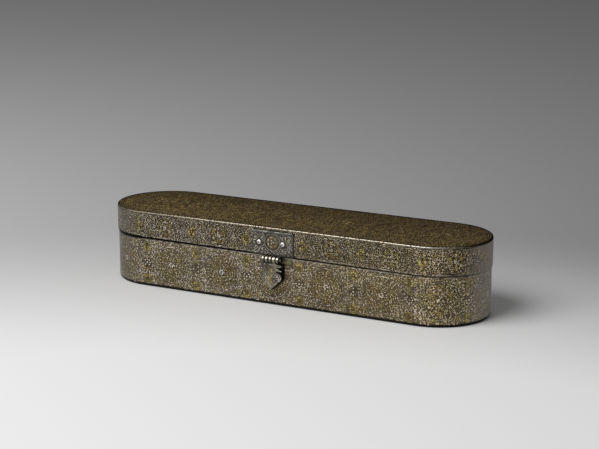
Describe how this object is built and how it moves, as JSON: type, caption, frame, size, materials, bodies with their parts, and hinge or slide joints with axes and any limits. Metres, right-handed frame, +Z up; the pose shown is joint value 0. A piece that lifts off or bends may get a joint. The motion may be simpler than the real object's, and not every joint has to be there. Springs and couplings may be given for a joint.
{
  "type": "pen box",
  "caption": "Round-ended pen box of inlaid sheet brass with a hinged lid, a swinging hasp and an ink end with cups beside a trough for reed pens.",
  "frame": {"origin": "centre of the flat underside", "axes": "+X along the box towards the ink end, +Y towards the hinges, +Z up"},
  "size_m": [0.29, 0.085, 0.0548],
  "materials": {
    "inlaid_brass": "dark olive-brown brass, densely inlaid with silver and gold scrolls, worn",
    "dark_inlaid_brass": "darker gold-brown inlaid brass, matt from handling",
    "plain_brass": "plain aged brass, dull and stained",
    "cup_brass": "plain spun brass, a little brighter on the flange",
    "fitting_metal": "silvered grey brass, worn at its edges",
    "rivet_silver": "bright worn silver-white metal"
  },
  "bodies": {
    "case": {"body_wall": "inlaid_brass", "body_base": "plain_brass", "rim_lip": "plain_brass", "ink_bulkhead": "plain_brass", "ink_deck": "plain_brass", "ink_cup": "cup_brass", "sand_cup": "cup_brass", "starch_cup": "cup_brass", "hinge_body_leaf_left": "fitting_metal", "hinge_body_leaf_right": "fitting_metal", "hinge_pin_left": "fitting_metal", "hinge_pin_right": "fitting_metal", "hinge_body_rivets": "rivet_silver"},
    "lid": {"lid_wall": "inlaid_brass", "lid_top": "dark_inlaid_brass", "hinge_lid_leaf_left": "fitting_metal", "hinge_lid_leaf_right": "fitting_metal", "hinge_lid_rivets": "rivet_silver", "hasp_plate": "fitting_metal", "hasp_rivets": "rivet_silver", "hasp_pin": "rivet_silver"},
    "hasp": {"hasp_tongue": "fitting_metal", "catch_stud": "fitting_metal"}
  },
  "joints": [
    {"name": "lid_hinge", "type": "hinge", "parent": "case", "child": "lid", "pos_m": [0, 0.04035, 0.0348], "axis": [-1, 0, 0], "range_deg": [0, 180]},
    {"name": "hasp_swing", "type": "hinge", "parent": "lid", "child": "hasp", "pos_m": [0.0012, -0.04035, 0.03315], "axis": [-1, 0, 0], "range_deg": [-5, 170]}
  ]
}
